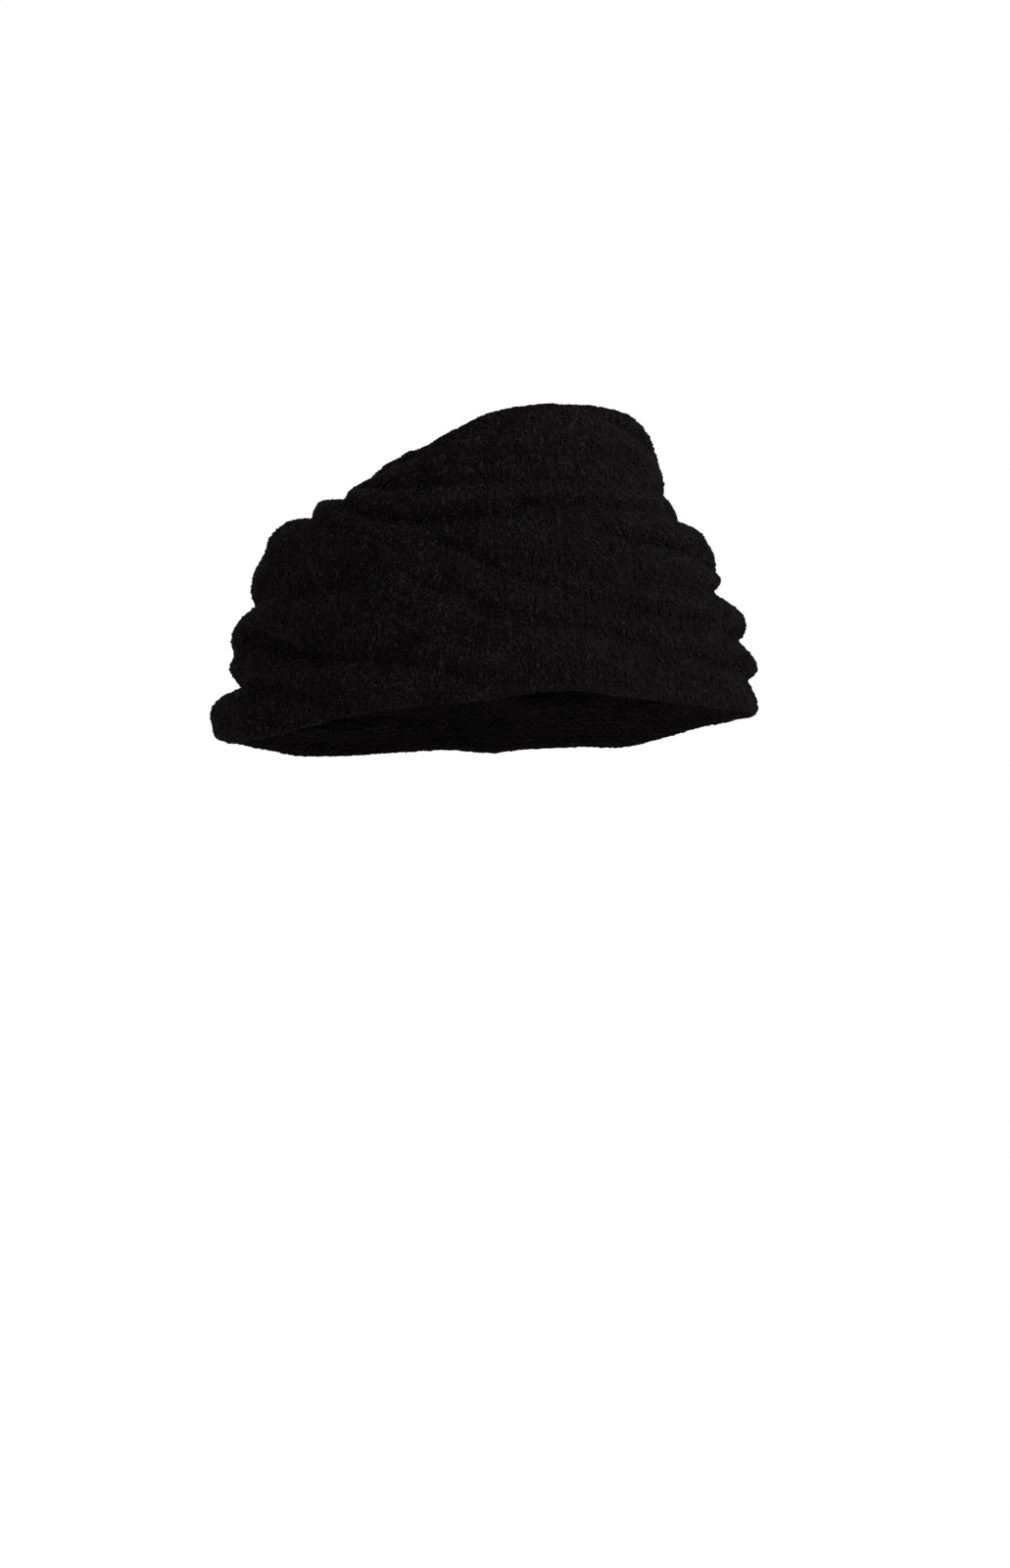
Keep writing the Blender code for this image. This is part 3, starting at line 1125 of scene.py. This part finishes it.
@dataclass
class Curls(WoolPart):
    """Small curls of the bouclé yarn, on half the tube, that stand up between the stitches."""

    half: Half
    count: int = 6800
    sides: int = 4
    size: CurlSize = CurlSize(length=(2.6, 5.8), bend=(1.2, 4.4), radius=(0.58, 0.94))
    taper: tuple[float, float, float] = (0.86, 1.0, 0.86)
    flatten: float = 0.9
    edge_room: float = 0.4
    rise: Pair = (-0.75, 0.35)
    end_depth: float = 1.45
    bump_spread: float = 0.06
    ring_spread: float = 0.08
    flecks: Flecks = Flecks(drop=0.17, crowd=2.3, step=0.128)
    seed: int = SEED + 90

    def build(self) -> Piece:
        """Arcs of yarn with both ends sunk in the stitches.

        Returns:
            One joined mesh.
        """
        first = self.half.value
        rng = np.random.default_rng(self.seed + int(first * 10))
        knit, count = self.knit, self.count
        stops, rings = len(self.taper) + 2, len(self.taper)
        wale = rng.uniform(first, first + 1 / len(Half), count) * knit.wales
        course = rng.uniform(self.edge_room, knit.courses - self.edge_room, count)
        across, down = self.size.paths(rng, rng.uniform(0, 2 * math.pi, count), stops)
        at_wale = wale[:, None] + across / knit.pitch(wale, course)[:, None]
        at_course = np.clip(course[:, None] + down / knit.course_height, 0, knit.courses)
        top = rng.uniform(*self.rise, count)[:, None]
        height = top - (top + self.end_depth) * np.linspace(-1, 1, stops) ** 4
        height = height + rng.normal(0, self.bump_spread, (count, stops))
        spine = knit.place(at_wale, at_course, height)
        outward = knit.normal(at_wale, at_course)
        radius = rng.uniform(*self.size.radius, count)[:, None] * np.array(self.taper)
        radius = radius * (1 + rng.normal(0, self.ring_spread, (count, rings)))
        curls = spindles(spine, outward, radius, self.flatten, self.sides)
        tones = self.flecks.tones(rng, self.tone.read(spine[:, 2]))
        return spindle_piece(f"curls_{self.half.name.lower()}", curls, self.sides, tones)


@dataclass
class Fuzz(WoolPart):
    """Loose fibres of the wool that stand off the stitches."""

    count: int = 12000
    length: Pair = (1.2, 3.6)
    root_height: Pair = (-0.5, 0.15)
    edge_room: float = 0.05
    width: float = 0.075
    narrowing: float = 0.8
    least_lift: float = 0.25
    lift_spread: float = 0.75
    waviness: float = 0.9
    droop: float = 0.25
    flecks: Flecks = Flecks(drop=0.0, crowd=1.5, step=0.15)
    seed: int = SEED + 50
    finish: ClassVar[WoolFinish] = FIBRE

    def build(self) -> Piece:
        """Thin bent blades, each of two lengths, rooted in the stitches.

        Returns:
            One joined mesh.
        """
        rng = np.random.default_rng(self.seed)
        knit, count = self.knit, self.count
        wale = rng.uniform(0, knit.wales, count)
        course = rng.uniform(self.edge_room, knit.courses - self.edge_room, count)
        root = knit.place(wale, course, rng.uniform(*self.root_height, count))
        normal = knit.normal(wale, course)
        random_way = unit(rng.normal(0, 1, (count, 3)))
        flat = unit(random_way - normal * np.sum(random_way * normal, axis=1, keepdims=True))
        lift = np.abs(rng.normal(0, self.lift_spread, count))[:, None]
        first = unit(flat + normal * (lift + self.least_lift))
        second = unit(first + self.waviness * unit(rng.normal(0, 1, (count, 3))) - self.droop * normal)
        half = rng.uniform(*self.length, count)[:, None] / 2
        middle = root + first * half
        tip = middle + second * half
        wide = unit(np.cross(first, rng.normal(0, 1, (count, 3)))) * self.width / 2
        narrow = wide * self.narrowing
        points = np.stack([root - wide, root + wide, middle - narrow, middle + narrow, tip], axis=1)
        each = points.shape[1]
        faces = repeated(np.array([(0, 1, 3), (0, 3, 2), (2, 3, 4)]), each, count)
        tones = self.flecks.tones(rng, self.tone.read(root))
        return make_piece("wool_fuzz", points.reshape(-1, 3), faces, np.repeat(tones, each))


@dataclass
class NeckWrap:
    """Every part of the wrap, dressed."""

    cut: Pair = (0.60, 0.16)
    knit: KnitMap = field(default_factory=lambda: KnitMap(WrapForm()))
    tone: ToneField = field(default_factory=ToneField)

    def build(self) -> None:
        """Make the ground, then the stitches, purl rows, edges, curls and fuzz that lie on it."""
        knit, laid = self.knit, (self.knit, self.tone)
        group = WoolTone().group()
        materials = {finish: finish.material(group) for finish in (YARN, GROUND_WITH_PAINTED_SHADE, FIBRE)}
        parts = [ClothShell(*laid)]
        parts += [Stitches(*laid, side) for side in Side]
        parts += [PurlBumps(*laid)]
        parts += [EdgeRoll(*laid, edge) for edge in Edge]
        parts += [Curls(*laid, half) for half in Half]
        parts += [Fuzz(*laid)]
        shell, *with_it = [part.dress(part.build(), materials[part.finish]) for part in parts]
        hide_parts(NODE)
        LOG.info("%d columns of %d stitches, %.2f mm high", knit.wales, knit.courses, knit.course_height)


# ---- Studio ----


@dataclass
class SoftLight:
    """A large soft lamp, aimed at the wrap."""

    name: str
    place: Place
    size: float
    power: float

    def build(self, target: Vector) -> None:
        """Add the lamp, turned to the wrap.

        Args:
            target: The wrap's middle.
        """
        lamp = bpy.data.lights.new(self.name, "AREA")
        lamp.shape = "DISK"
        lamp.size = self.size
        lamp.energy = self.power
        lamp_object = bpy.data.objects.new(self.name, lamp)
        lamp_object.location = self.place
        aim = target - Vector(self.place)
        lamp_object.rotation_euler = aim.to_track_quat("-Z", "Y").to_euler()
        bpy.context.scene.collection.objects.link(lamp_object)


@dataclass
class Studio:
    """White surroundings, a pale floor, soft lamps, and the camera at the photographed angle."""

    floor_radius: float = 9.0
    floor_height: float = -0.62
    floor_sides: int = 96
    floor_finish: FloorFinish = FloorFinish()
    fill: float = 0.220
    lamps: tuple[SoftLight, ...] = (
        SoftLight("key lamp", (1.88, -1.52, 0.88), 1.1, 23.5),
        SoftLight("top lamp", (0.1, -0.7, 2.1), 1.6, 5.2),
        SoftLight("throat lamp", (-0.9, 2.1, 1.1), 1.4, 16.0),
        SoftLight("low lamp", (-1.7, -0.15, -0.42), 0.7, 4.6),
    )
    camera_distance: float = 2.6
    picture_height: float = 1600
    pixel: float = 0.00047
    axis_pixel: Pair = (505, 735)
    centre_pixel: Pair = (515.5, 800)
    sensor: float = 36.0
    clip_end: float = 100.0

    def build(self) -> None:
        """Set up everything round the wrap."""
        lo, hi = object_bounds()
        target = (Vector(lo) + Vector(hi)) / 2
        for lamp in self.lamps:
            lamp.build(target)
        self._floor()
        self._surroundings()
        self._camera()
        view = bpy.context.scene.view_settings
        view.view_transform = "Standard"
        view.look = "None"

    def _floor(self) -> None:
        """A wide round floor well below the wrap."""
        bpy.ops.mesh.primitive_circle_add(
            vertices=self.floor_sides,
            radius=self.floor_radius,
            fill_type="NGON",
            location=(0, 0, self.floor_height),
        )
        floor = bpy.context.object
        floor.name = "floor"
        floor.data.materials.append(self.floor_finish.material(self.floor_radius))
        floor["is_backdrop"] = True

    def _surroundings(self) -> None:
        """White behind everything, and an even fill light of its own strength."""
        world = bpy.data.worlds.new("white surroundings")
        bpy.context.scene.world = world
        world.use_nodes = True
        tree = world.node_tree
        fill = tree.nodes["Background"]
        feed(tree, fill, {"Color": WHITE, "Strength": self.fill})
        white = add_node(tree, "Background", {"Color": WHITE, "Strength": 1.0})["Background"]
        seen = add_node(tree, "LightPath", {})["Is Camera Ray"]
        mix = add_node(tree, "MixShader", {"Fac": seen, 1: fill.outputs["Background"], 2: white})["Shader"]
        feed(tree, tree.nodes["World Output"], {"Surface": mix})

    def _camera(self) -> None:
        """A long lens, level, straight behind the wearer, framed as photographed."""
        camera = bpy.data.cameras.new("camera")
        camera.sensor_fit = "AUTO"
        camera.sensor_width = self.sensor
        camera.lens = self.sensor * self.camera_distance / (self.picture_height * self.pixel)
        camera.clip_end = self.clip_end
        camera_object = bpy.data.objects.new("camera", camera)
        across = (self.centre_pixel[0] - self.axis_pixel[0]) * self.pixel
        up = (self.axis_pixel[1] - self.centre_pixel[1]) * self.pixel
        camera_object.location = (across, -self.camera_distance, up)
        camera_object.rotation_euler = (math.pi / 2, 0, 0)
        bpy.context.scene.collection.objects.link(camera_object)
        bpy.context.scene.camera = camera_object


def main() -> None:
    """Load the frame, dress the wrap and set up the studio."""
    logging.basicConfig(level=logging.INFO, format="%(name)s: %(message)s")
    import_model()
    NeckWrap().build()
    Studio().build()


if __name__ == "__main__":
    main()
